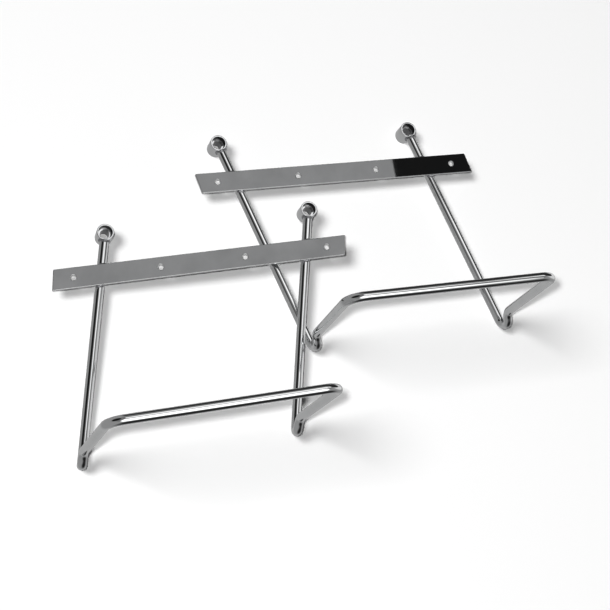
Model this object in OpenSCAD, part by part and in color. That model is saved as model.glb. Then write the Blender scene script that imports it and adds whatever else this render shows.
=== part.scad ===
// A pair of saddlebag support brackets for a motorcycle, left and right hand, lying flat as a set.
// Each bracket is one bent round bar, a flat mounting strap, two turned bushes and their welds.
//
// One hand is drawn in its own frame: x along the strap, y up the legs, z out of the front.
// The origin of that frame is on the strap's long centre line, at its left end and in the plane
// of the leg axes. The right hand is its mirror image. Both hands are then laid on the table:
// +Z up, origin at the bottom centre of the pair.

/* [Frame bar] */
// Diameter of the round bar
rod_d = 11; // [9:0.5:13]
// Distance between the two legs, along the strap
leg_gap = 254; // [230:1:280]
// Lean of the legs from square to the strap, in degrees
leg_lean = 15; // [8:0.5:20]
// Depth of the feet below the strap's centre line
foot_drop = 237; // [200:1:260]

/* [Hooked foot and rail] */
// Rise of the foot's hook from its lowest corner to the arm
hook_rise = 30; // [26:1:36]
// Reach of the foot's hook, out of the leg plane
hook_reach = 26; // [24:1:32]
// Sideways step of the foot's hook
hook_step = 6; // [3:0.5:9]
// Length of the arm, from the hook to the front rail
arm_len = 155; // [110:1:170]
// Sideways lean of the arms, in degrees
arm_lean = 3; // [0:0.5:4]
// Bend radius at the foot, on the bar's centre line
foot_bend = 10.5; // [8:0.5:12]
// Bend radius where the hook meets the arm
hook_bend = 17; // [12:0.5:20]
// Bend radius at the two corners of the front rail
rail_bend = 19; // [14:0.5:28]

/* [Strap] */
// Length of the flat mounting strap
strap_len = 360; // [340:1:400]
// Width of the strap
strap_w = 25; // [20:0.5:30]
// Thickness of the strap
strap_t = 4; // [3:0.5:6]
// Slant of the strap's cut ends, in degrees
end_slant = 11.5; // [0:0.5:20]
// Distance from the strap's end to the front leg
leg_inset = 57; // [50:0.5:65]
// Diameter of the strap's bolt holes
strap_hole_d = 7; // [5:0.1:9]
// Distance from the strap's end to the first and last hole
hole_inset = 24; // [18:0.5:30]
// Distance between neighbouring holes
hole_gap = 104; // [95:0.5:110]

/* [Bushes] */
// Outer diameter of a bush
bush_d = 20.5; // [19.5:0.5:24]
// Height of the bush's axis above the strap's centre line
bush_rise = 52; // [46:0.5:60]
// How far the bush stands out in front of the leg plane
bush_front = 6; // [5.5:0.5:9]
// How far the bush reaches behind the leg plane
bush_back = 16.5; // [13:0.5:20]
// Diameter of the counterbore for the bolt head
bore_head_d = 16.5; // [14:0.5:17]
// Depth of the counterbore
bore_head_depth = 9; // [5:0.5:12]
// Diameter of the through hole
bore_d = 10.5; // [8:0.1:12]

/* [Welds] */
// Thickness of a weld bead
bead_d = 4; // [3:0.2:5]
// Width of a bead across the front of the leg, in degrees
bead_arc = 110; // [90:5:180]

/* [Lying as a set] */
// Distance that the right hand lies across from the left hand
right_across = 553; // [550:0.5:557]
// Distance that the right hand lies further back
right_back = 105; // [102:0.5:106]
// Turn of the left hand on the table, in degrees
left_turn = 1; // [0.5:0.1:1.5]
// Gap left between the left hand's leg and the leg that it lies on
lying_gap = 0.3; // [0.2:0.1:0.6]

/* [Hidden] */

$fn = 64;
bend_lap = 0.3;
bend_slim = 0.02;
front = 0;
rear = 1;
rod_r = rod_d / 2;
bush_r = bush_d / 2;
bush_len = bush_front + bush_back;
bush_edge = 0.6;
lean_step = tan(leg_lean);
arm_step = arm_len * tan(arm_lean);

// The bar's corners before they are rounded. end is front or rear.
function leg_x(end) = leg_inset + end * leg_gap;
function bush_at(end) = [leg_x(end) + lean_step * bush_rise, bush_rise, 0];
function foot_at(end) = [leg_x(end) - lean_step * foot_drop, -foot_drop, 0];
function knee_at(end) = foot_at(end) + [hook_step, hook_rise, hook_reach];
function corner_at(end) = knee_at(end) + [arm_step, 0, arm_len];

bar_corners = [
    bush_at(front), foot_at(front), knee_at(front), corner_at(front),
    corner_at(rear), knee_at(rear), foot_at(rear), bush_at(rear)
];
bar_bends = [0, foot_bend, hook_bend, rail_bend, rail_bend, hook_bend, foot_bend, 0];

function unit(v) = v / norm(v);
// Turn between the two straights that meet at corner i, in degrees
function turn_at(i) = acos(unit(bar_corners[i] - bar_corners[i - 1])
    * unit(bar_corners[i + 1] - bar_corners[i]));
// Length that the bend at corner i takes from each of its two straights
function bend_cut(i) = bar_bends[i] == 0 ? 0 : bar_bends[i] * tan(turn_at(i) / 2);

// How the set lies. Each hand rests on its bushes' back rims and on its feet, so its legs slope a
// little. The left hand also leans on the right hand's rear leg, so it is rolled about its own
// front leg.
rim_y = bush_rise - bush_r + bush_edge;
sole_y = bend_cut(1) * cos(leg_lean) - foot_drop;
leg_slope = atan((bush_back - rod_r) / (rim_y - sole_y));
table_lift = bush_back * cos(leg_slope) - rim_y * sin(leg_slope);
left_roll = asin((rod_d + lying_gap - right_back * sin(leg_slope))
    / (leg_gap * cos(leg_lean) + bush_r));
rim_lift = bush_r * sin(left_roll);
// Centre of the pair's outline on the table, seen from the left hand's own origin
set_centre = [278.23, -28.62];

// Places its children, drawn along +Z, at point p and along direction v.
module aim(p, v) {
    u = unit(v);
    translate(p) rotate([0, acos(u[2]), atan2(u[1], u[0])]) children();
}

// One straight of the bar, from corner i to the next one
module bar_straight(i) {
    a = bar_corners[i];
    b = bar_corners[i + 1];
    v = unit(b - a);
    aim(a + v * bend_cut(i), v)
        cylinder(h = norm(b - a) - bend_cut(i) - bend_cut(i + 1), r = rod_r);
}

// One rounded corner of the bar: a piece of a ring in the plane of its two straights. It is a
// hair slimmer than the straights and starts and ends a little inside them.
module bar_bend(i) {
    into = unit(bar_corners[i] - bar_corners[i - 1]);
    out = unit(bar_corners[i + 1] - bar_corners[i]);
    side = unit(out - into * (into * out));
    up = cross(-side, into);
    centre = bar_corners[i] - into * bend_cut(i) + side * bar_bends[i];
    lap = bend_lap / bar_bends[i] * 180 / PI;
    multmatrix([
        [-side[0], into[0], up[0], centre[0]],
        [-side[1], into[1], up[1], centre[1]],
        [-side[2], into[2], up[2], centre[2]]
    ])
        rotate([0, 0, -lap]) rotate_extrude(angle = turn_at(i) + 2 * lap)
            translate([bar_bends[i], 0]) circle(r = rod_r - bend_slim);
}

// The bent bar: leg, foot, arm, rail and back again, with its ends saddled to the bushes
module frame_rod() {
    color("silver") difference() {
        union() {
            for (i = [0 : len(bar_corners) - 2]) bar_straight(i);
            for (i = [1 : len(bar_corners) - 2]) bar_bend(i);
        }
        for (end = [front, rear]) bush_blank(end);
    }
}

// The outside of a bush as a plain round bar, for cutting what is welded to it. extra makes it
// longer at the front.
module bush_blank(end, extra = 0) {
    translate(bush_at(end) - [0, 0, bush_back]) cylinder(h = bush_len + extra, d = bush_d);
}

// A leg as an endless round bar, for cutting the weld beads on it
module leg_blank(end) {
    aim(foot_at(end), bush_at(end) - foot_at(end))
        cylinder(h = foot_drop + bush_rise + bush_d, r = rod_r);
}

// A turned bush, with a counterbore for the bolt head and broken outer edges
module bush(end) {
    color("gainsboro") translate(bush_at(end) - [0, 0, bush_back]) rotate_extrude() polygon([
        [bore_d / 2, 0],
        [bush_r - bush_edge, 0],
        [bush_r, bush_edge],
        [bush_r, bush_len - bush_edge],
        [bush_r - bush_edge, bush_len],
        [bore_head_d / 2, bush_len],
        [bore_head_d / 2, bush_len - bore_head_depth],
        [bore_d / 2, bush_len - bore_head_depth]
    ]);
}

// The flat strap across the front of both legs
module strap_blank() {
    slip = strap_w / 2 * tan(end_slant);
    translate([0, 0, rod_r]) linear_extrude(strap_t) polygon([
        [-slip, -strap_w / 2],
        [strap_len - slip, -strap_w / 2],
        [strap_len + slip, strap_w / 2],
        [slip, strap_w / 2]
    ]);
}

module strap() {
    color("darkgray") difference() {
        strap_blank();
        for (i = [0 : 3]) translate([hole_inset + i * hole_gap, 0, rod_r - 1])
            cylinder(h = strap_t + 2, d = strap_hole_d);
    }
}

// The fillet round the top of a leg, where it meets its bush. It is turned to keep its seam off
// the crest of the bush.
module bush_weld(end) {
    color("lightgray") difference() {
        aim(bush_at(end), foot_at(end) - bush_at(end)) rotate([0, 0, 45])
            rotate_extrude() polygon([
                [rod_r, bush_r - bead_d],
                [rod_r + bead_d / 2, bush_r - bead_d],
                [rod_r + bead_d / 2, bush_r],
                [rod_r, bush_r + bead_d / 2]
            ]);
        bush_blank(end, bead_d);
    }
}

// A bead over the front of a leg, along the strap's upper (side 1) or lower (side -1) edge
module strap_weld(end, side) {
    along = side * strap_w / 2 / cos(leg_lean);
    seat = [leg_x(end), 0, 0];
    color("lightgray") difference() {
        translate(seat) rotate([0, 0, -leg_lean]) translate([0, along, 0]) rotate([-90, 0, 0])
            rotate([0, 0, -90 - bead_arc / 2])
                rotate_extrude(angle = bead_arc) translate([rod_r, 0]) circle(d = bead_d);
        strap_blank();
        leg_blank(end);
    }
}

// Lays a hand on the table, with its own origin over the point [x, y]
module lay(x, y) {
    translate([x - set_centre[0], y - set_centre[1], table_lift]) rotate([leg_slope, 0, 0])
        children();
}

module lay_left() {
    lay(0, 0) rotate([0, 0, left_turn]) translate([leg_inset, 0, rim_lift])
        rotate(-left_roll, [sin(leg_lean), cos(leg_lean), 0]) translate([-leg_inset, 0, 0])
            children();
}

module lay_right() {
    lay(right_across, right_back) mirror([1, 0, 0]) children();
}

lay_left() frame_rod();  // left_frame_rod
lay_left() strap();  // left_strap
lay_left() bush(front);  // left_front_bush
lay_left() bush(rear);  // left_rear_bush
lay_left() bush_weld(front);  // left_front_bush_weld
lay_left() bush_weld(rear);  // left_rear_bush_weld
lay_left() strap_weld(front, 1);  // left_front_upper_weld
lay_left() strap_weld(front, -1);  // left_front_lower_weld
lay_left() strap_weld(rear, 1);  // left_rear_upper_weld
lay_left() strap_weld(rear, -1);  // left_rear_lower_weld
lay_right() frame_rod();  // right_frame_rod
lay_right() strap();  // right_strap
lay_right() bush(front);  // right_front_bush
lay_right() bush(rear);  // right_rear_bush
lay_right() bush_weld(front);  // right_front_bush_weld
lay_right() bush_weld(rear);  // right_rear_bush_weld
lay_right() strap_weld(front, 1);  // right_front_upper_weld
lay_right() strap_weld(front, -1);  // right_front_lower_weld
lay_right() strap_weld(rear, 1);  // right_rear_upper_weld
lay_right() strap_weld(rear, -1);  // right_rear_lower_weld
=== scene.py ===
"""Looks for a left and right hand pair of chrome-plated saddlebag support brackets.

Every bar, strap, bush and weld is built here in more detail than its CAD node, on the same
centre lines and inside the same box. The brackets are in millimetres until a mesh is made. The
stage, lamps and camera are in metres.
"""
import math
import random

import bpy
from mathutils import Matrix, Vector


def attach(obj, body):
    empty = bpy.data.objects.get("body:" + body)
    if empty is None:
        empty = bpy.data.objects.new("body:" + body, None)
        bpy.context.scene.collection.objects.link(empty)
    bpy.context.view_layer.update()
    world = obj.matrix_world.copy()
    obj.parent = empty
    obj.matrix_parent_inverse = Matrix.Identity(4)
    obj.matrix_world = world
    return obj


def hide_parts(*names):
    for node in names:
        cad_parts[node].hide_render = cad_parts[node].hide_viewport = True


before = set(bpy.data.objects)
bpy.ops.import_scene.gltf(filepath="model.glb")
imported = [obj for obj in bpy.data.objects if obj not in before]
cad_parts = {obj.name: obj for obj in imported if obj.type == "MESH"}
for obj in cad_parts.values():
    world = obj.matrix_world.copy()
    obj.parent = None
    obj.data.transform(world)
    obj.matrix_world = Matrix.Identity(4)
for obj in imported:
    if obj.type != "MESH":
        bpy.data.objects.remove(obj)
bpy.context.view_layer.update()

MM = 0.001

# One bracket in its own frame: x along the strap, y up the legs, z out of the front
ROD_R = 5.5
LEG_GAP = 254
LEG_LEAN = math.radians(15)
FOOT_DROP = 237
HOOK = (6, 30, 26)
ARM_LEN = 155
ARM_LEAN = math.radians(3)
FOOT_BEND, HOOK_BEND, RAIL_BEND = 10.5, 17, 19
STRAP_LEN, STRAP_W, STRAP_T = 360, 25, 4
END_SLANT = math.radians(11.5)
LEG_INSET = 57
HOLES, HOLE_D, HOLE_INSET, HOLE_GAP = 4, 7, 24, 104
BUSH_R, BUSH_RISE, BUSH_FRONT, BUSH_BACK = 10.25, 52, 6, 16.5
HEAD_R, HEAD_DEPTH, BORE_R = 8.25, 9, 5.25
BUSH_EDGE = 0.6

# How the two brackets lie on the table
RIGHT_ACROSS, RIGHT_BACK = 553, 105
LEFT_TURN = math.radians(1)
LYING_GAP = 0.3
SET_CENTRE = (278.23, -28.62)

ENDS = {"front": 0, "rear": 1}

# Keeps the rounder shapes made here just inside the CAD box
SKIN = 0.03


# ---------------------------------------------------------------- the bracket's lines

def leg_x(end):
    return LEG_INSET + end * LEG_GAP


def bush_at(end):
    return Vector((leg_x(end) + math.tan(LEG_LEAN) * BUSH_RISE, BUSH_RISE, 0))


def foot_at(end):
    return Vector((leg_x(end) - math.tan(LEG_LEAN) * FOOT_DROP, -FOOT_DROP, 0))


def knee_at(end):
    return foot_at(end) + Vector(HOOK)


def corner_at(end):
    return knee_at(end) + Vector((ARM_LEN * math.tan(ARM_LEAN), 0, ARM_LEN))


CORNERS = [bush_at(0), foot_at(0), knee_at(0), corner_at(0),
           corner_at(1), knee_at(1), foot_at(1), bush_at(1)]
BENDS = [0, FOOT_BEND, HOOK_BEND, RAIL_BEND, RAIL_BEND, HOOK_BEND, FOOT_BEND, 0]


def bend_cut(i):
    """Length that the bend at corner i takes from each of its two straights."""
    a = (CORNERS[i] - CORNERS[i - 1]).normalized()
    b = (CORNERS[i + 1] - CORNERS[i]).normalized()
    return BENDS[i] * math.tan(a.angle(b) / 2)


def placements():
    """The matrices that lay the left and the right bracket on the table, in millimetres."""
    rim_y = BUSH_RISE - BUSH_R + BUSH_EDGE
    sole_y = bend_cut(1) * math.cos(LEG_LEAN) - FOOT_DROP
    slope = math.atan((BUSH_BACK - ROD_R) / (rim_y - sole_y))
    lift = BUSH_BACK * math.cos(slope) - rim_y * math.sin(slope)
    roll = math.asin((2 * ROD_R + LYING_GAP - RIGHT_BACK * math.sin(slope))
                     / (LEG_GAP * math.cos(LEG_LEAN) + BUSH_R))
    tip = Matrix.Rotation(slope, 4, "X")
    leg_axis = Vector((math.sin(LEG_LEAN), math.cos(LEG_LEAN), 0))
    off = Vector((-SET_CENTRE[0], -SET_CENTRE[1], lift))
    left = (Matrix.Translation(off) @ tip @ Matrix.Rotation(LEFT_TURN, 4, "Z")
            @ Matrix.Translation((LEG_INSET, 0, BUSH_R * math.sin(roll)))
            @ Matrix.Rotation(-roll, 4, leg_axis) @ Matrix.Translation((-LEG_INSET, 0, 0)))
    right = (Matrix.Translation(off + Vector((RIGHT_ACROSS, RIGHT_BACK, 0))) @ tip
             @ Matrix.Scale(-1, 4, (1, 0, 0)))
    return {"left": left, "right": right}


PLACE = placements()


# ---------------------------------------------------------------- mesh making

# The cosine above which two faces point the same way
SAME_WAY = 0.9999


def make_piece(name, hand, points, faces, material, nodes, sharp, uvs=None, flats=False):
    """A mesh piece from points in the bracket's own frame. It stands for the named CAD nodes,
    and edges that turn by more than sharp degrees stay sharp."""
    place = PLACE[hand]
    if place.determinant() < 0:
        faces = [tuple(reversed(f)) for f in faces]
        uvs = None if uvs is None else [tuple(reversed(u)) for u in uvs]
    mesh = bpy.data.meshes.new(name)
    mesh.from_pydata([(place @ Vector(p)) * MM for p in points], [], faces)
    if uvs is not None:
        layer = mesh.uv_layers.new(name="UVMap")
        flat = [c for face in uvs for uv in face for c in uv]
        layer.data.foreach_set("uv", flat)
    mesh.shade_smooth()
    mesh.set_sharp_from_angle(angle=math.radians(sharp))
    if flats:
        keep_flats_flat(mesh)
    obj = bpy.data.objects.new(name, mesh)
    bpy.context.scene.collection.objects.link(obj)
    obj.data.materials.append(material)
    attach(obj, hand + "_bracket")
    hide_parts(*nodes)
    return obj


def broad_faces(mesh):
    """The indices of the faces on a plate's two broad sides."""
    normal = max(mesh.polygons, key=lambda f: f.area).normal.copy()
    return {f.index for f in mesh.polygons if abs(f.normal.dot(normal)) > SAME_WAY}


def keep_flats_flat(mesh):
    """Stops the shading of a rounded edge from spreading into the plate's two broad faces."""
    broad = broad_faces(mesh)
    sides = {}
    for face in mesh.polygons:
        for key in face.edge_keys:
            sides.setdefault(key, []).append(face.index)
    for edge in mesh.edges:
        if len({f in broad for f in sides.get(tuple(edge.key), [])}) == 2:
            edge.use_edge_sharp = True


def repaint_faces(obj, material, chosen):
    """Gives the chosen faces of a piece a second material: here painted shade on a bush's walls
    or a painted highlight on a strap's edges.
    """
    obj.data.materials.append(material)
    for face in chosen:
        face.material_index = 1


def ring_faces(rings, around, closed):
    """Quads between rings of points, and their (along, around) steps for the texture lines."""
    faces, steps = [], []
    last = rings if closed else rings - 1
    for i in range(last):
        j = (i + 1) % rings
        for k in range(around):
            m = (k + 1) % around
            faces.append((i * around + k, i * around + m, j * around + m, j * around + k))
            steps.append(((i, k), (i, k + 1), (i + 1, k + 1), (i + 1, k)))
    return faces, steps


# ---------------------------------------------------------------- the bent bar

AROUND_BAR = 64
BEND_STEPS = 28
STRAIGHT_STEP = 12.0
# A cold bend flattens on its outside: by this share at this radius, easing in by this power
FLATTEN, FLATTEN_AT, FLATTEN_EASE = 0.035, 12, 0.7
# How far the bar's ends reach into the wall of a bush
INTO_WALL = 0.8


def bar_path():
    """The bar's centre line as (point, direction, side, squeeze): side points to the inside of
    the nearest bend, and squeeze is 0 on the straights and rises to the middle of a bend, the
    more the tighter the bend is."""
    path = []
    start = CORNERS[0]
    for i in range(1, len(CORNERS)):
        into = (CORNERS[i] - CORNERS[i - 1]).normalized()
        if i == len(CORNERS) - 1:
            stop, cut, side = CORNERS[i], 0, path[-1][2]
        else:
            out = (CORNERS[i + 1] - CORNERS[i]).normalized()
            cut = bend_cut(i)
            stop = CORNERS[i] - into * cut
            side = (out - into * into.dot(out)).normalized()
        count = max(2, round((stop - start).length / STRAIGHT_STEP))
        for n in range(count):
            path.append((start.lerp(stop, n / count), into, side, 0.0))
        if i == len(CORNERS) - 1:
            path.append((stop, into, side, 0.0))
            break
        radius, turn = BENDS[i], into.angle(out)
        centre = stop + side * radius
        for n in range(BEND_STEPS):
            a = turn * n / BEND_STEPS
            point = centre - side * radius * math.cos(a) + into * radius * math.sin(a)
            along = into * math.cos(a) + side * math.sin(a)
            inward = side * math.cos(a) - into * math.sin(a)
            squeeze = math.sin(math.pi * n / BEND_STEPS) ** FLATTEN_EASE * (FLATTEN_AT / radius)
            path.append((point, along, inward, squeeze))
        start = CORNERS[i] + out * cut
    return path


def carried_frames(path):
    """A (side, up) pair at each point that follows the line with no twist."""
    frames = []
    side = path[0][2]
    for _, along, _, _ in path:
        side = (side - along * along.dot(side)).normalized()
        frames.append((side, along.cross(side)))
    return frames


def saddle(point, end):
    """Slides a point of the bar's end along its leg until it is inside the bush's wall."""
    axis = bush_at(end)
    down = (foot_at(end) - axis).normalized()
    offset = point - axis
    offset -= down * down.dot(offset)
    reach = math.sqrt((BUSH_R - INTO_WALL) ** 2 - offset.x ** 2 - offset.y ** 2)
    return axis + offset + down * reach


def bent_bar(hand, material):
    """The whole bar as one swept tube, with its ends shaped to sit in the bushes."""
    path = bar_path()
    frames = carried_frames(path)
    points, lengths, run = [], [], 0.0
    for n, (point, along, inward, squeeze) in enumerate(path):
        side, up = frames[n]
        run += (point - path[n - 1][0]).length if n else 0
        lengths.append(run)
        for k in range(AROUND_BAR):
            a = 2 * math.pi * k / AROUND_BAR
            out = side * math.cos(a) + up * math.sin(a)
            facing = out.dot(inward)
            outer = max(0.0, -facing) ** 2
            radius = (ROD_R - SKIN) * (1 - FLATTEN * squeeze * outer)
            points.append(point + out * radius)
    around = AROUND_BAR
    points[:around] = [saddle(p, 0) for p in points[:around]]
    points[-around:] = [saddle(p, 1) for p in points[-around:]]
    faces, steps = ring_faces(len(path), around, closed=False)
    uvs = [[(lengths[i] * MM, k / around) for i, k in quad] for quad in steps]
    last = len(points) - around
    faces.append(tuple(range(around))[::-1])
    faces.append(tuple(range(last, last + around)))
    uvs.append([(0.0, k / around) for k in range(around)][::-1])
    uvs.append([(lengths[-1] * MM, k / around) for k in range(around)])
    faces = [tuple(reversed(f)) for f in faces]
    uvs = [list(reversed(u)) for u in uvs]
    return make_piece(hand + "_bent_bar", hand, points, faces, material,
                      [hand + "_frame_rod"], sharp=50, uvs=uvs)


# ---------------------------------------------------------------- strap

STRAP_BEVEL = 0.45
CORNER_R = 1.0
AROUND_HOLE = 48


def rounded_outline(corners, radius, steps=5):
    """The corners joined by straight lines, each corner rounded by an arc."""
    points = []
    for i, corner in enumerate(corners):
        before = (corners[i - 1] - corner).normalized()
        after = (corners[(i + 1) % len(corners)] - corner).normalized()
        cut = radius / math.tan(before.angle(after) / 2)
        start, stop = corner + before * cut, corner + after * cut
        centre = corner + (before + after).normalized() * math.hypot(cut, radius)
        first = math.atan2(start.y - centre.y, start.x - centre.x)
        last = math.atan2(stop.y - centre.y, stop.x - centre.x)
        turn = (last - first + math.pi) % (2 * math.pi) - math.pi
        for n in range(steps + 1):
            a = first + turn * n / steps
            points.append(Vector((centre.x + radius * math.cos(a),
                                  centre.y + radius * math.sin(a))))
    return points


def flat_strap(hand, material, edge_highlight_material):
    """A flat strap with rounded edges and a row of holes. Its edges get a much lighter plate
    than its broad faces, a painted highlight along them.
    """
    half = STRAP_W / 2
    slip = half * math.tan(END_SLANT)
    outline = rounded_outline([
        Vector((-slip, -half)), Vector((STRAP_LEN - slip, -half)),
        Vector((STRAP_LEN + slip, half)), Vector((slip, half))], CORNER_R)
    curve = bpy.data.curves.new("strap_outline", "CURVE")
    curve.dimensions, curve.fill_mode = "2D", "BOTH"
    curve.extrude = STRAP_T / 2 - STRAP_BEVEL
    curve.bevel_depth, curve.bevel_resolution = STRAP_BEVEL, 3
    curve.offset = -STRAP_BEVEL
    loops = [outline]
    angles = [2 * math.pi * k / AROUND_HOLE for k in range(AROUND_HOLE)]
    for n in range(HOLES):
        x = HOLE_INSET + n * HOLE_GAP
        loops.append([Vector((x + HOLE_D / 2 * math.cos(a), -HOLE_D / 2 * math.sin(a)))
                      for a in angles])
    for loop in loops:
        spline = curve.splines.new("POLY")
        spline.points.add(len(loop) - 1)
        for p, q in zip(spline.points, loop):
            p.co = (q.x, q.y, 0, 1)
        spline.use_cyclic_u = True
    holder = bpy.data.objects.new("strap_outline", curve)
    mesh = bpy.data.meshes.new_from_object(holder)
    middle = ROD_R + STRAP_T / 2
    points, faces = weld_points([v.co + Vector((0, 0, middle)) for v in mesh.vertices],
                                [tuple(p.vertices) for p in mesh.polygons])
    bpy.data.objects.remove(holder)
    bpy.data.curves.remove(curve)
    bpy.data.meshes.remove(mesh)
    obj = make_piece(hand + "_flat_strap", hand, points, faces, material,
                     [hand + "_strap"], sharp=50, flats=True)
    broad = broad_faces(obj.data)
    # Painted highlight: every face off the strap's broad sides, the holes' walls too, takes the
    # lighter edge plate
    repaint_faces(obj, edge_highlight_material, [f for f in obj.data.polygons if f.index not in broad])
    return obj


def weld_points(points, faces):
    """Joins points at the same place, so the mesh is closed, and drops what that empties."""
    index, kept, new = {}, [], []
    for p in points:
        key = tuple(round(c, 4) for c in p)
        if key not in index:
            index[key] = len(kept)
            kept.append(p)
        new.append(index[key])
    out = []
    for f in faces:
        loop = []
        for v in (new[i] for i in f):
            if v not in loop:
                loop.append(v)
        if len(loop) > 2:
            out.append(tuple(loop))
    return kept, out


# ---------------------------------------------------------------- bush

AROUND_BUSH = 96
BACK_CHAMFER, MOUTH_R, SEAT_CHAMFER = 0.3, 0.35, 0.35
# The counterbore's wall runs into its seat by these (in, up) steps
SEAT_FILLET = [(0, 0.4), (0.15, 0.1), (0.5, 0)]


def arc(cx, cy, radius, first, last, steps=4):
    """Points on an arc, angles in degrees."""
    return [(cx + radius * math.cos(math.radians(first + (last - first) * n / steps)),
             cy + radius * math.sin(math.radians(first + (last - first) * n / steps)))
            for n in range(steps + 1)]


def turned_bush(hand, end_name, material, shaded_wall_material):
    """A lathe-turned bush: rounded rims, a counterbore with a broken mouth and a bore, whose
    walls carry painted shade.
    """
    around = AROUND_BUSH
    top, bottom, edge = BUSH_FRONT - SKIN, SKIN - BUSH_BACK, BUSH_EDGE
    outer = BUSH_R - SKIN
    seat = top - HEAD_DEPTH
    profile = [(BORE_R, bottom + BACK_CHAMFER), (BORE_R + BACK_CHAMFER, bottom)]
    profile += arc(outer - edge, bottom + edge, edge, -90, 0)
    profile += arc(outer - edge, top - edge, edge, 0, 90)
    profile += arc(HEAD_R + MOUTH_R, top - MOUTH_R, MOUTH_R, 90, 180)
    profile += [(HEAD_R - inward, seat + up) for inward, up in SEAT_FILLET]
    profile += [(BORE_R + SEAT_CHAMFER, seat), (BORE_R, seat - SEAT_CHAMFER)]
    centre = bush_at(ENDS[end_name])
    points = []
    for r, z in profile:
        for k in range(around):
            a = 2 * math.pi * k / around
            points.append(centre + Vector((r * math.cos(a), r * math.sin(a), z)))
    faces, _ = ring_faces(len(profile), around, closed=True)
    obj = make_piece(f"{hand}_{end_name}_turned_bush", hand, points,
                     [tuple(reversed(f)) for f in faces],
                     material, [f"{hand}_{end_name}_bush"], sharp=40)
    # painted shade: the counterbore's wall is the sixth band from the last, and the bore's wall
    # is the last, and both take the dark wall plate
    walls = [i * around + k for i in (len(profile) - 6, len(profile) - 1)
             for k in range(around)]
    repaint_faces(obj, shaded_wall_material, [obj.data.polygons[i] for i in walls])
    return obj


# ---------------------------------------------------------------- welds

AROUND_BEAD = 20
# Ripples along a bead: their pitch, the thickness between them, their rise and their sharpness
RIPPLE, RIPPLE_FOOT, RIPPLE_RISE, RIPPLE_SHARP = 2.1, 0.86, 0.15, 0.6
# Each ripple is thicker or thinner by chance, from a list this long
UNEVEN, UNEVEN_COUNT = (0.93, 1.07), 64
# An open bead's ends draw in by this power, down to this least share of its section
END_POWER, END_LEAST = 5, 0.02
BUSH_BEAD_R, BUSH_BEAD_OUT, BUSH_BEAD_STEPS = 1.5, 0.35, 150
STRAP_BEAD_R, STRAP_BEAD_OUT, STRAP_BEAD_STEPS = 1.75, 0.25, 60
STRAP_BEAD_GAP, STRAP_BEAD_SPREAD = 0.35, math.radians(50)


def bead(name, hand, path, radius, closed, material, nodes, seed):
    """A weld bead along a path: a tube with overlapping ripples and small unevenness."""
    rng = random.Random(seed)
    around, count = AROUND_BEAD, len(path)
    middle = sum(path, Vector()) / count
    points, run = [], 0.0
    wobble = [rng.uniform(*UNEVEN) for _ in range(UNEVEN_COUNT)]
    for n in range(count):
        before = path[n - 1] if (n or closed) else path[n]
        after = path[(n + 1) % count] if (n < count - 1 or closed) else path[n]
        along = (after - before).normalized()
        run += (path[n] - path[n - 1]).length if n else 0
        phase = run / RIPPLE
        scale = RIPPLE_FOOT + RIPPLE_RISE * abs(math.sin(math.pi * phase)) ** RIPPLE_SHARP
        scale *= wobble[int(phase) % len(wobble)]
        if not closed:
            t = 2 * n / (count - 1) - 1
            scale *= math.sqrt(max(END_LEAST, 1 - abs(t) ** END_POWER))
        side = along.orthogonal().normalized()
        if closed:
            side = path[n] - middle
            side = (side - along * along.dot(side)).normalized()
        up = along.cross(side)
        for k in range(around):
            a = 2 * math.pi * k / around
            points.append(path[n] + (side * math.cos(a) + up * math.sin(a)) * radius * scale)
    faces, _ = ring_faces(count, around, closed)
    if not closed:
        faces.append(tuple(range(around))[::-1])
        faces.append(tuple(range(len(points) - around, len(points))))
    faces = [tuple(reversed(f)) for f in faces]
    return make_piece(name, hand, points, faces, material, nodes, sharp=60)


def bush_bead(hand, end_name, material, seed):
    """The bead that runs round a leg on the saddle line where it meets its bush."""
    end = ENDS[end_name]
    axis = bush_at(end)
    down = (foot_at(end) - axis).normalized()
    side, front = Vector((down.y, -down.x, 0)), Vector((0, 0, 1))
    path, ring = [], ROD_R + BUSH_BEAD_OUT
    for n in range(BUSH_BEAD_STEPS):
        a = 2 * math.pi * n / BUSH_BEAD_STEPS
        reach = math.sqrt(BUSH_R ** 2 - (ring * math.cos(a)) ** 2) + BUSH_BEAD_OUT
        path.append(axis + down * reach + (side * math.cos(a) + front * math.sin(a)) * ring)
    return bead(f"{hand}_{end_name}_bush_bead", hand, path, BUSH_BEAD_R, True, material,
                [f"{hand}_{end_name}_bush_weld"], seed)


def strap_bead(hand, end_name, edge_name, material, seed):
    """A short bead over the front of a leg, in the corner that the strap's edge makes."""
    end, sign = ENDS[end_name], 1 if edge_name == "upper" else -1
    seat = Vector((leg_x(end), 0, 0))
    up_leg = Vector((math.sin(LEG_LEAN), math.cos(LEG_LEAN), 0))
    side, front = Vector((up_leg.y, -up_leg.x, 0)), Vector((0, 0, 1))
    path, ring = [], ROD_R + STRAP_BEAD_OUT
    edge_y = sign * (STRAP_W / 2 + STRAP_BEAD_GAP)
    for n in range(STRAP_BEAD_STEPS):
        a = STRAP_BEAD_SPREAD * (2 * n / (STRAP_BEAD_STEPS - 1) - 1)
        along = (edge_y - side.y * ring * math.sin(a)) / up_leg.y
        path.append(seat + up_leg * along
                    + (side * math.sin(a) + front * math.cos(a)) * ring)
    return bead(f"{hand}_{end_name}_{edge_name}_bead", hand, path, STRAP_BEAD_R, False,
                material, [f"{hand}_{end_name}_{edge_name}_weld"], seed)


# ---------------------------------------------------------------- materials

# Most values of a noise texture lie between these
NOISE_LOW, NOISE_HIGH = 0.3, 0.7


def new_material(name, slot):
    """A material with its nodes and links. The slot is the finish that the library names."""
    material = bpy.data.materials.new(name)
    material.use_nodes = True
    material["slot"] = slot
    return material, material.node_tree.nodes, material.node_tree.links


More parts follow.
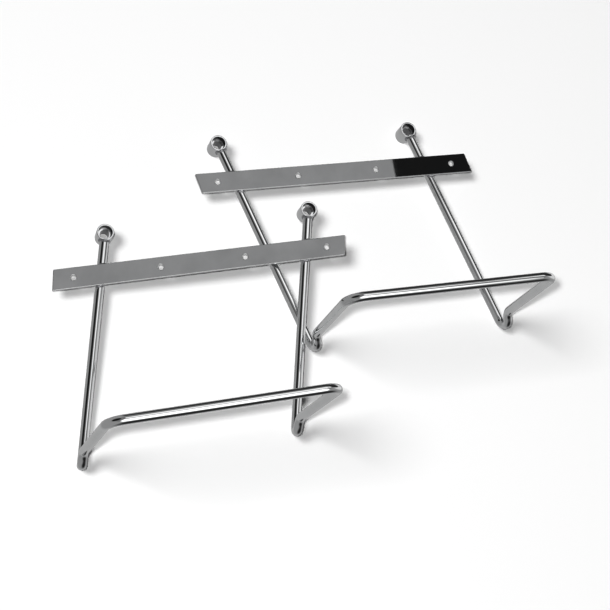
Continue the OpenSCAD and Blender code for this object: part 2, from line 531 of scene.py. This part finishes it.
def noise(nodes, links, vector, scale, detail, stretch=None):
    """A noise texture on the given coordinates, stretched by a mapping if asked."""
    if stretch is not None:
        mapping = nodes.new("ShaderNodeMapping")
        mapping.inputs["Scale"].default_value = stretch
        links.new(vector, mapping.inputs["Vector"])
        vector = mapping.outputs["Vector"]
    texture = nodes.new("ShaderNodeTexNoise")
    texture.inputs["Scale"].default_value = scale
    texture.inputs["Detail"].default_value = detail
    links.new(vector, texture.inputs["Vector"])
    return texture.outputs["Fac"]


def remap(nodes, links, value, low, high, start=NOISE_LOW, stop=NOISE_HIGH):
    """A value moved from the range start to stop into the range low to high."""
    node = nodes.new("ShaderNodeMapRange")
    node.inputs["From Min"].default_value = start
    node.inputs["From Max"].default_value = stop
    node.inputs["To Min"].default_value = low
    node.inputs["To Max"].default_value = high
    links.new(value, node.inputs["Value"])
    return node.outputs["Result"]


def tone(nodes, links, value, dark, light):
    """A colour between two, chosen by a value."""
    ramp = nodes.new("ShaderNodeValToRGB")
    ramp.color_ramp.elements[0].position = NOISE_LOW
    ramp.color_ramp.elements[1].position = NOISE_HIGH
    ramp.color_ramp.elements[0].color = (*dark, 1)
    ramp.color_ramp.elements[1].color = (*light, 1)
    links.new(value, ramp.inputs["Fac"])
    return ramp.outputs["Color"]


def bump(nodes, links, height, distance, normal=None):
    """A bump of the given height in metres, on top of another if one is given."""
    node = nodes.new("ShaderNodeBump")
    node.inputs["Strength"].default_value = 1.0
    node.inputs["Distance"].default_value = distance
    links.new(height, node.inputs["Height"])
    if normal is not None:
        links.new(normal, node.inputs["Normal"])
    return node.outputs["Normal"]


def plated(name, slot, dark, light, rough, lines, waves):
    """Bright chrome plate. rough is its least and most roughness. lines and waves are (scale,
    stretch, height in metres) of its fine polishing lines and of the slow waves left by it."""
    material, nodes, links = new_material(name, slot)
    shader = nodes["Principled BSDF"]
    shader.inputs["Metallic"].default_value = 1.0
    place = nodes.new("ShaderNodeTexCoord")
    where = place.outputs["UV" if slot == "plated_bar" else "Object"]
    cloud = noise(nodes, links, place.outputs["Object"], 28.0, 4.0)
    links.new(tone(nodes, links, cloud, dark, light), shader.inputs["Base Color"])
    haze = noise(nodes, links, place.outputs["Object"], 95.0, 5.0)
    links.new(remap(nodes, links, haze, rough[0], rough[1]), shader.inputs["Roughness"])
    fine = noise(nodes, links, where, lines[0], 2.0, lines[1])
    slow = noise(nodes, links, place.outputs["Object"], waves[0], 1.0, waves[1])
    first = bump(nodes, links, slow, waves[2])
    links.new(bump(nodes, links, fine, lines[2], first), shader.inputs["Normal"])
    return material


def machined(name, slot, dark, light, rough):
    """Chrome over a turned part: the lathe's rings show through the plate."""
    return plated(name, slot, dark, light, rough,
                  lines=(1.0, (220.0, 220.0, 1500.0), 0.000005), waves=(60.0, None, 0.00001))


def weld_metal(name, slot):
    """Plate over a weld: duller and grittier than the bar's."""
    material, nodes, links = new_material(name, slot)
    shader = nodes["Principled BSDF"]
    shader.inputs["Metallic"].default_value = 1.0
    place = nodes.new("ShaderNodeTexCoord").outputs["Object"]
    cloud = noise(nodes, links, place, 420.0, 4.0)
    links.new(tone(nodes, links, cloud, (0.36, 0.36, 0.37), (0.68, 0.68, 0.70)),
              shader.inputs["Base Color"])
    links.new(remap(nodes, links, cloud, 0.12, 0.3), shader.inputs["Roughness"])
    grit = noise(nodes, links, place, 1600.0, 3.0)
    links.new(bump(nodes, links, grit, 0.00006), shader.inputs["Normal"])
    return material


# ---------------------------------------------------------------- stage, lights and camera

def plane(name, size, z):
    """A square, size each way from its middle."""
    mesh = bpy.data.meshes.new(name)
    mesh.from_pydata([(-size, -size, z), (size, -size, z), (size, size, z), (-size, size, z)],
                     [], [(0, 1, 2, 3)])
    obj = bpy.data.objects.new(name, mesh)
    bpy.context.scene.collection.objects.link(obj)
    return obj


# The floor lies a hair below the brackets, and fades out between two distances from the middle
FLOOR_SIZE, FLOOR_Z, FLOOR_FADE, FLOOR_LEVEL = 3.0, -0.0002, (0.65, 1.4), 0.9


def floor():
    """A plain pale floor that fades into the backdrop away from the brackets. The plating
    mirrors the studio's surround instead of it."""
    obj = plane("floor", FLOOR_SIZE, FLOOR_Z)
    material, nodes, links = new_material("pale_floor", "")
    shader = nodes["Principled BSDF"]
    shader.inputs["Roughness"].default_value = 0.9
    shader.inputs["Specular IOR Level"].default_value = 0.0
    shader.inputs["Base Color"].default_value = (FLOOR_LEVEL, FLOOR_LEVEL, FLOOR_LEVEL, 1)
    place = nodes.new("ShaderNodeTexCoord")
    reach = nodes.new("ShaderNodeVectorMath")
    reach.operation = "LENGTH"
    links.new(place.outputs["Object"], reach.inputs[0])
    fade = remap(nodes, links, reach.outputs["Value"], 0.0, 1.0, *FLOOR_FADE)
    mix = nodes.new("ShaderNodeMixShader")
    links.new(fade, mix.inputs["Fac"])
    links.new(shader.outputs["BSDF"], mix.inputs[1])
    links.new(nodes.new("ShaderNodeBsdfTransparent").outputs["BSDF"], mix.inputs[2])
    links.new(mix.outputs["Shader"], nodes["Material Output"].inputs["Surface"])
    obj.data.materials.append(material)
    obj.visible_glossy = False


# The studio that the plating mirrors: grey all round, with soft boxes and black flags.
# Each is (azimuth from +X, elevation, radius and edge softness in degrees, level). Below the
# heights in UNDER_EDGE, as parts of the dome's radius, the room has its own level.
SURROUND_R = 6.0
ROOM_LEVEL, UNDER_LEVEL, UNDER_EDGE = 0.30, 0.38, (-0.86, -0.66)
STUDIO = {
    "ceiling": (0, 90, 45, 25, 0.20),
    "right_wall": (15, 0, 35, 15, 0.60),
    "front_flag": (-75, -5, 30, 30, 0.03),
    "back_flag": (65, 10, 28, 15, 0.04),
    "right_flag": (30, 20, 25, 8, 0.04),
    "left_flag": (155, 45, 22, 8, 0.02),
    "front_box": (-80, 58, 24, 14, 1.20),
    "top_box": (50, 70, 14, 5, 0.80),
    "right_box": (25, 52, 8, 4, 0.85),
}
STUDIO_GAIN = 1.4
# A dark card high over the right bracket: half its length, its width's share, place and glow
FLAG_HALF, FLAG_WIDTH, FLAG_PLACE, FLAG_LEVEL = 0.0877, 0.6, (0.4463, 0.247, 0.461), 0.07


def towards(azimuth, elevation):
    """The unit direction at an azimuth from +X and an elevation, both in degrees."""
    a, e = math.radians(azimuth), math.radians(elevation)
    return Vector((math.cos(e) * math.cos(a), math.cos(e) * math.sin(a), math.sin(e)))


def glowing_dome(name, radius):
    """A dome that glows and lights nothing, with its emission node, nodes and links."""
    bpy.ops.mesh.primitive_uv_sphere_add(segments=64, ring_count=32, radius=radius)
    dome = bpy.context.object
    dome.name = name
    material, nodes, links = new_material(name, "")
    nodes.clear()
    out = nodes.new("ShaderNodeOutputMaterial")
    glow = nodes.new("ShaderNodeEmission")
    links.new(glow.outputs["Emission"], out.inputs["Surface"])
    dome.data.materials.append(material)
    dome.visible_diffuse = dome.visible_shadow = False
    dome.visible_transmission = dome.visible_volume_scatter = False
    return dome, glow, nodes, links


def surround():
    """A large dome that only the plating's reflections see."""
    dome, glow, nodes, links = glowing_dome("surround", SURROUND_R)
    dome.visible_camera = False
    place = nodes.new("ShaderNodeTexCoord")
    unit = nodes.new("ShaderNodeVectorMath")
    unit.operation = "NORMALIZE"
    links.new(place.outputs["Object"], unit.inputs[0])
    direction = unit.outputs["Vector"]
    split = nodes.new("ShaderNodeSeparateXYZ")
    links.new(direction, split.inputs["Vector"])
    level = remap(nodes, links, split.outputs["Z"], UNDER_LEVEL, ROOM_LEVEL,
                  *UNDER_EDGE)
    for azimuth, elevation, reach, soft, value in STUDIO.values():
        level = panel(nodes, links, direction, level, towards(azimuth, elevation),
                      reach, soft, value)
    glow.inputs["Color"].default_value = (STUDIO_GAIN, STUDIO_GAIN, STUDIO_GAIN, 1)
    links.new(level, glow.inputs["Strength"])


def flag():
    """A small dark card high over the right bracket, seen only in the plating."""
    obj = plane("flag", FLAG_HALF, 0.0)
    obj.scale = (1.0, FLAG_WIDTH, 1.0)
    obj.location = FLAG_PLACE
    material, nodes, links = new_material("flag", "")
    shader = nodes["Principled BSDF"]
    shader.inputs["Base Color"].default_value = (0.0, 0.0, 0.0, 1)
    shader.inputs["Specular IOR Level"].default_value = 0.0
    shader.inputs["Emission Color"].default_value = (1.0, 1.0, 1.0, 1)
    shader.inputs["Emission Strength"].default_value = FLAG_LEVEL
    obj.data.materials.append(material)
    obj.visible_camera = obj.visible_diffuse = obj.visible_shadow = False


def panel(nodes, links, direction, level, middle, reach, soft, value):
    """Mixes one round panel or flag over the level so far."""
    dot = nodes.new("ShaderNodeVectorMath")
    dot.operation = "DOT_PRODUCT"
    links.new(direction, dot.inputs[0])
    dot.inputs[1].default_value = middle
    angle = nodes.new("ShaderNodeMath")
    angle.operation = "ARCCOSINE"
    links.new(dot.outputs["Value"], angle.inputs[0])
    share = nodes.new("ShaderNodeMapRange")
    share.interpolation_type = "SMOOTHSTEP"
    share.inputs["From Min"].default_value = math.radians(reach + soft / 2)
    share.inputs["From Max"].default_value = math.radians(reach - soft / 2)
    links.new(angle.outputs["Value"], share.inputs["Value"])
    mix = nodes.new("ShaderNodeMix")
    mix.data_type = "FLOAT"
    links.new(share.outputs["Result"], mix.inputs["Factor"])
    links.new(level, mix.inputs["A"])
    mix.inputs["B"].default_value = value
    return mix.outputs["Result"]


# The camera aims at a point on the table and is turned about its own line of sight
CAMERA_AIM = Vector((0.0256, -0.0275, 0.0))
CAMERA_AZIMUTH, CAMERA_ELEVATION, CAMERA_ROLL = -138.9, 65.4, 40.0
CAMERA_DISTANCE = 1.8
LENS, SENSOR = 86.7, 36.0
# The lamps: their levels, their angles off the camera's line, and how large they look
WORLD_LEVEL, HIGH_LEVEL, NEAR_LEVEL = 0.055, 2.15, 21.5
HIGH_ANGLE, NEAR_ANGLE = 28, 2.8
HIGH_SIZE, NEAR_SIZE = math.radians(22), 0.04
BACKDROP_R, BACKDROP_LEVEL = 11.5, 0.985


def camera():
    """The photograph's view. It is made the scene's camera."""
    data = bpy.data.cameras.new("camera")
    data.lens, data.sensor_width = LENS, SENSOR
    data.clip_start, data.clip_end = 0.05, 60.0
    obj = bpy.data.objects.new("camera", data)
    back = towards(CAMERA_AZIMUTH, CAMERA_ELEVATION)
    obj.location = CAMERA_AIM + back * CAMERA_DISTANCE
    right = Vector((0, 0, 1)).cross(back).normalized()
    upright = Matrix((right, back.cross(right), back)).transposed()
    roll = Matrix.Rotation(math.radians(CAMERA_ROLL), 3, "Z")
    obj.rotation_euler = (upright @ roll).to_euler()
    bpy.context.scene.collection.objects.link(obj)
    bpy.context.scene.camera = obj
    return obj


def lamp(name, kind, energy):
    """A lamp that lights the floor and leaves no hot spot in the plating."""
    data = bpy.data.lights.new(name, kind)
    data.energy = energy
    obj = bpy.data.objects.new(name, data)
    obj.visible_glossy = False
    bpy.context.scene.collection.objects.link(obj)
    return obj


def lights(eye):
    """A weak even light, a broad high light and a small even-strength lamp by the camera. The
    two lamps stand up and left of the camera's line, so that shadows fall down and right."""
    world = bpy.data.worlds.new("studio")
    bpy.context.scene.world = world
    world.use_nodes = True
    back = world.node_tree.nodes["Background"]
    back.inputs["Color"].default_value = (1.0, 1.0, 1.0, 1)
    back.inputs["Strength"].default_value = WORLD_LEVEL
    turn = eye.rotation_euler.to_matrix()
    up_left, line = turn @ Vector((-1, 1, 0)).normalized(), turn @ Vector((0, 0, 1))
    high = lamp("high", "SUN", HIGH_LEVEL)
    high.data.angle = HIGH_SIZE
    away = math.radians(HIGH_ANGLE)
    high.rotation_euler = (line * math.cos(away) + up_left * math.sin(away)).to_track_quat(
        "Z", "Y").to_euler()
    near = lamp("near", "POINT", NEAR_LEVEL)
    near.data.shadow_soft_size = NEAR_SIZE
    near.location = eye.location + up_left * CAMERA_DISTANCE * math.tan(math.radians(NEAR_ANGLE))
    near.data.use_nodes = True
    tree = near.data.node_tree
    falloff = tree.nodes.new("ShaderNodeLightFalloff")
    falloff.inputs["Strength"].default_value = 1.0
    tree.links.new(falloff.outputs["Constant"], tree.nodes["Emission"].inputs["Strength"])


def backdrop():
    """A pale surround that only the camera sees, behind the floor's far edge."""
    dome, glow, _, _ = glowing_dome("backdrop", BACKDROP_R)
    dome.visible_glossy = False
    glow.inputs["Color"].default_value = (BACKDROP_LEVEL, BACKDROP_LEVEL, BACKDROP_LEVEL, 1)


def colour_settings():
    """A plain view, with a little more contrast, as the photograph has."""
    view = bpy.context.scene.view_settings
    view.view_transform, view.look = "Standard", "None"
    view.exposure, view.gamma = 0.0, 0.75


# ---------------------------------------------------------------- the pair

bar_chrome = plated(
    "bar_chrome", "plated_bar", dark=(0.77, 0.775, 0.78), light=(0.85, 0.855, 0.86),
    rough=(0.035, 0.075), lines=(1.0, (18.0, 60.0, 1.0), 0.0000015),
    waves=(16.0, None, 0.00005))
# Painted shade: the strap's plate is given about a third of the bar plate's brightness, so its
# broad faces mirror the studio darker than the same chrome on the bar
shaded_strap_chrome = plated(
    "shaded_strap_chrome", "plated_strap", dark=(0.27, 0.272, 0.275), light=(0.31, 0.312, 0.315),
    rough=(0.02, 0.05), lines=(1.0, (40.0, 900.0, 900.0), 0.000003),
    waves=(14.0, None, 0.00008))
# Painted highlight: the strap's rounded edges, ends and hole walls are plated far lighter than
# its broad faces
edge_highlight_chrome = plated(
    "edge_highlight_chrome", "plated_strap", dark=(0.76, 0.765, 0.77), light=(0.82, 0.825, 0.83),
    rough=(0.08, 0.16), lines=(1.0, (300.0, 300.0, 300.0), 0.000004),
    waves=(20.0, None, 0.00002))
bush_chrome = machined("bush_chrome", "plated_bush", dark=(0.74, 0.745, 0.755),
                       light=(0.82, 0.825, 0.83), rough=(0.06, 0.12))
# Painted shade: the walls of the counterbore and bore get a dark copy of the bush's plate
shaded_wall_chrome = machined("shaded_wall_chrome", "plated_bush", dark=(0.20, 0.202, 0.206),
                       light=(0.27, 0.272, 0.276), rough=(0.10, 0.20))
weld_chrome = weld_metal("weld_chrome", "plated_weld")

for number, hand in enumerate(("left", "right")):
    bent_bar(hand, bar_chrome)
    flat_strap(hand, shaded_strap_chrome, edge_highlight_chrome)
    for end_name, end in ENDS.items():
        seed = 10 * number + 5 * end
        turned_bush(hand, end_name, bush_chrome, shaded_wall_chrome)
        bush_bead(hand, end_name, weld_chrome, seed + 1)
        strap_bead(hand, end_name, "upper", weld_chrome, seed + 2)
        strap_bead(hand, end_name, "lower", weld_chrome, seed + 3)

floor()
backdrop()
surround()
flag()
lights(camera())
colour_settings()
